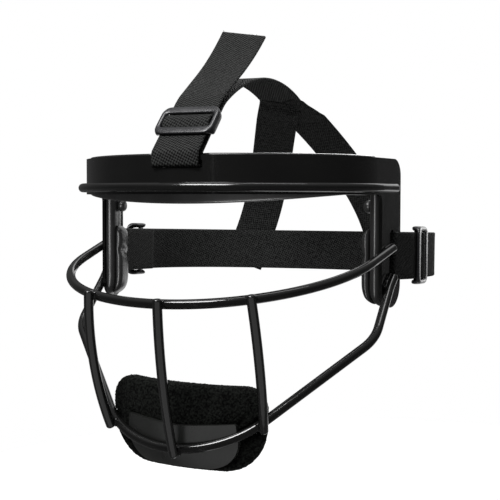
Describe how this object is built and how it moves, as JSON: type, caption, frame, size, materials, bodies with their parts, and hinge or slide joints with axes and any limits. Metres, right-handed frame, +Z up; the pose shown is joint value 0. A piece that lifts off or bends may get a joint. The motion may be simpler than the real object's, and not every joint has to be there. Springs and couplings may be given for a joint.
{
  "type": "softball face guard",
  "caption": "Steel wire face guard with a padded brow band, temple plates, chin cup and pad, and an adjustable webbing head harness.",
  "frame": {"origin": "centre of the head opening", "axes": "+X to the wearer's left, +Y to the back of the head, +Z up; the mask looks along -Y"},
  "size_m": [0.1874, 0.2382, 0.2237],
  "materials": {
    "enamelled_steel": "gloss black enamel",
    "pad_vinyl": "glossy black vinyl over foam",
    "pad_fleece": "matt black fleece",
    "cup_plastic": "satin black moulded plastic",
    "webbing": "dark grey woven webbing",
    "slider_plastic": "satin blue-black moulded plastic"
  },
  "bodies": {
    "guard": {"face_plate": "enamelled_steel", "brow_wire": "enamelled_steel", "cheek_wire": "enamelled_steel", "chin_wire": "enamelled_steel", "centre_bar": "enamelled_steel", "left_bar": "enamelled_steel", "right_bar": "enamelled_steel", "brow_pad": "pad_vinyl", "left_temple_pad": "pad_vinyl", "right_temple_pad": "pad_vinyl", "left_inner_pad": "pad_vinyl", "right_inner_pad": "pad_vinyl", "pad_studs": "pad_vinyl", "chin_pad": "pad_fleece", "chin_cup": "cup_plastic", "crown_strap": "webbing", "left_branch_strap": "webbing", "right_branch_strap": "webbing", "rear_strap": "webbing"},
    "brow_slider_body": {"brow_slider": "slider_plastic"},
    "left_slider_body": {"left_slider": "slider_plastic"},
    "right_slider_body": {"right_slider": "slider_plastic"}
  },
  "joints": [
    {"name": "brow_slider_slide", "type": "slide", "parent": "guard", "child": "brow_slider_body", "axis": [0, 0.7193, 0.6947], "range_m": [-0.009, 0.005]},
    {"name": "left_slider_slide", "type": "slide", "parent": "guard", "child": "left_slider_body", "axis": [0, 0.9996, -0.0297], "range_m": [-0.003, 0.013]},
    {"name": "right_slider_slide", "type": "slide", "parent": "guard", "child": "right_slider_body", "axis": [0, 0.9996, -0.0297], "range_m": [-0.013, 0.003]}
  ]
}
